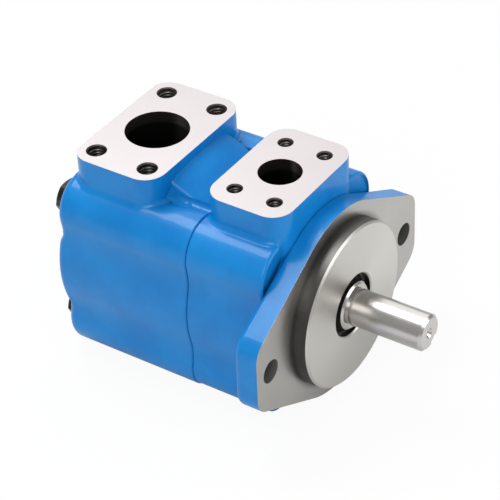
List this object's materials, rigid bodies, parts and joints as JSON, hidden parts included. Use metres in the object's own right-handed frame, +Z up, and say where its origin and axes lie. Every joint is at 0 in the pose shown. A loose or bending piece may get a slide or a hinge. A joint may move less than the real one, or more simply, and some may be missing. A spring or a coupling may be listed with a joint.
{
  "type": "hydraulic vane pump",
  "caption": "Hydraulic vane pump with a two-bolt pilot flange, straight keyed shaft, and square inlet and outlet port pads on top of a lobed two-part casing.",
  "frame": {"origin": "centre of the mounting pilot on the flange face", "axes": "+X along the shaft out of the drive end, +Z up to the port faces, +Y across the flange's two bolt holes"},
  "size_m": [0.2232, 0.1748, 0.1365],
  "materials": {
    "casting_paint": "azure enamel over a sand casting, with machined faces left bare",
    "ground_steel": "ground and polished",
    "black_steel": "black oxide",
    "pressed_steel": "pressed, zinc plated",
    "bearing_steel": "ground and lapped",
    "spring_steel": "phosphated",
    "hardened_steel": "hardened and ground",
    "plate_iron": "machined iron",
    "bearing_bronze": "machined bronze",
    "cage_brass": "machined brass",
    "seal_rubber": "moulded nitrile rubber",
    "lip_rubber": "moulded nitrile rubber",
    "backup_plastic": "white ptfe"
  },
  "bodies": {
    "housing": {"bearing_outer_race": "bearing_steel", "bearing_retaining_ring": "spring_steel", "cam_ring": "hardened_steel", "cartridge_screws": "black_steel", "cover_screws": "black_steel", "cover_seal": "seal_rubber", "garter_spring": "pressed_steel", "hub_backup_ring": "backup_plastic", "hub_seal": "seal_rubber", "inlet_cover": "casting_paint", "inlet_flex_plate": "bearing_bronze", "inlet_support_plate": "plate_iron", "locating_pins": "black_steel", "outlet_flex_plate": "bearing_bronze", "outlet_support_plate": "plate_iron", "plate_backup_ring": "backup_plastic", "plate_seal": "seal_rubber", "pump_body": "casting_paint", "seal_washer": "pressed_steel", "shaft_bush": "bearing_bronze", "shaft_seal_case": "pressed_steel", "shaft_seal_lip": "lip_rubber"},
    "shaft": {"drive_shaft": "ground_steel", "bearing_inner_race": "bearing_steel", "shaft_snap_ring": "spring_steel", "rotor": "hardened_steel", "intra_vanes": "hardened_steel"},
    "ball_cage": {"bearing_balls": "bearing_steel", "bearing_cage": "cage_brass"},
    "vane_01_blade": {"vane_01": "hardened_steel"},
    "vane_02_blade": {"vane_02": "hardened_steel"},
    "vane_03_blade": {"vane_03": "hardened_steel"},
    "vane_04_blade": {"vane_04": "hardened_steel"},
    "vane_05_blade": {"vane_05": "hardened_steel"},
    "vane_06_blade": {"vane_06": "hardened_steel"},
    "vane_07_blade": {"vane_07": "hardened_steel"},
    "vane_08_blade": {"vane_08": "hardened_steel"},
    "vane_09_blade": {"vane_09": "hardened_steel"},
    "vane_10_blade": {"vane_10": "hardened_steel"}
  },
  "joints": [
    {"name": "shaft_spin", "type": "hinge", "parent": "housing", "child": "shaft", "pos_m": [0, 0, 0], "axis": [1, 0, 0], "continuous": true},
    {"name": "cage_spin", "type": "hinge", "parent": "housing", "child": "ball_cage", "pos_m": [0, 0, 0], "axis": [1, 0, 0], "continuous": true},
    {"name": "vane_01_slide", "type": "slide", "parent": "shaft", "child": "vane_01_blade", "axis": [0, 1, 0], "range_m": [-0.0005, 0]},
    {"name": "vane_02_slide", "type": "slide", "parent": "shaft", "child": "vane_02_blade", "axis": [0, 0.809, 0.5878], "range_m": [-0.0005, 0.00065]},
    {"name": "vane_03_slide", "type": "slide", "parent": "shaft", "child": "vane_03_blade", "axis": [0, 0.309, 0.9511], "range_m": [-0.0005, 0.00345]},
    {"name": "vane_04_slide", "type": "slide", "parent": "shaft", "child": "vane_04_blade", "axis": [0, -0.309, 0.9511], "range_m": [-0.0005, 0.00345]},
    {"name": "vane_05_slide", "type": "slide", "parent": "shaft", "child": "vane_05_blade", "axis": [0, -0.809, 0.5878], "range_m": [-0.0005, 0.00065]},
    {"name": "vane_06_slide", "type": "slide", "parent": "shaft", "child": "vane_06_blade", "axis": [0, -1, 0], "range_m": [-0.0005, 0]},
    {"name": "vane_07_slide", "type": "slide", "parent": "shaft", "child": "vane_07_blade", "axis": [0, -0.809, -0.5878], "range_m": [-0.0005, 0.00065]},
    {"name": "vane_08_slide", "type": "slide", "parent": "shaft", "child": "vane_08_blade", "axis": [0, -0.309, -0.9511], "range_m": [-0.0005, 0.00345]},
    {"name": "vane_09_slide", "type": "slide", "parent": "shaft", "child": "vane_09_blade", "axis": [0, 0.309, -0.9511], "range_m": [-0.0005, 0.00345]},
    {"name": "vane_10_slide", "type": "slide", "parent": "shaft", "child": "vane_10_blade", "axis": [0, 0.809, -0.5878], "range_m": [-0.0005, 0.00065]}
  ],
  "couplings": [
    {"joint": "cage_spin", "follows": "shaft_spin", "ratio": 0.3965},
    {"joint": "vane_06_slide", "follows": "vane_01_slide", "ratio": 1},
    {"joint": "vane_07_slide", "follows": "vane_02_slide", "ratio": 1},
    {"joint": "vane_08_slide", "follows": "vane_03_slide", "ratio": 1},
    {"joint": "vane_09_slide", "follows": "vane_04_slide", "ratio": 1},
    {"joint": "vane_10_slide", "follows": "vane_05_slide", "ratio": 1}
  ]
}
